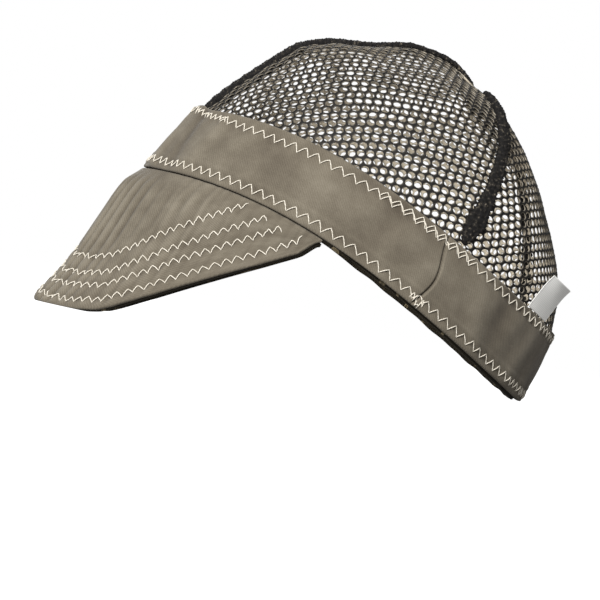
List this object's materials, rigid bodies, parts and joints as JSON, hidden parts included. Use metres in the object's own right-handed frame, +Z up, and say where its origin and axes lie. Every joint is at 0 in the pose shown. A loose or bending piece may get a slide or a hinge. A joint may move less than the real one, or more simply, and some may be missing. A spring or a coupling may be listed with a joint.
{
  "type": "welding cap",
  "caption": "Soft cotton welding cap with a drooping quilted peak, a straight band and a net crown in three panels, lying on its peak and the back of its band.",
  "frame": {"origin": "on the surface that the cap lies on, under the middle of its bounding box", "axes": "+Z up; +X from the peak at the front to the back of the band; the wearer's left is -Y"},
  "size_m": [0.2482, 0.156, 0.1568],
  "materials": {
    "twill": "grey-olive cotton twill, matt, with off-white zigzag stitching",
    "printed_lining": "dark olive-brown cotton with a pale blotched print",
    "net": "black-brown knitted net with round holes",
    "folded_net": "net folded over several times along the seams, nearly black",
    "label_tape": "plain white satin label tape"
  },
  "bodies": {
    "root": {"band": "twill", "band_lining": "printed_lining", "peak": "twill", "peak_lining": "printed_lining", "crown_left": "net", "crown_rear": "net", "crown_right": "net", "seam_front": "folded_net", "seam_rear_left": "folded_net", "seam_rear_right": "folded_net", "label": "label_tape"}
  },
  "joints": []
}
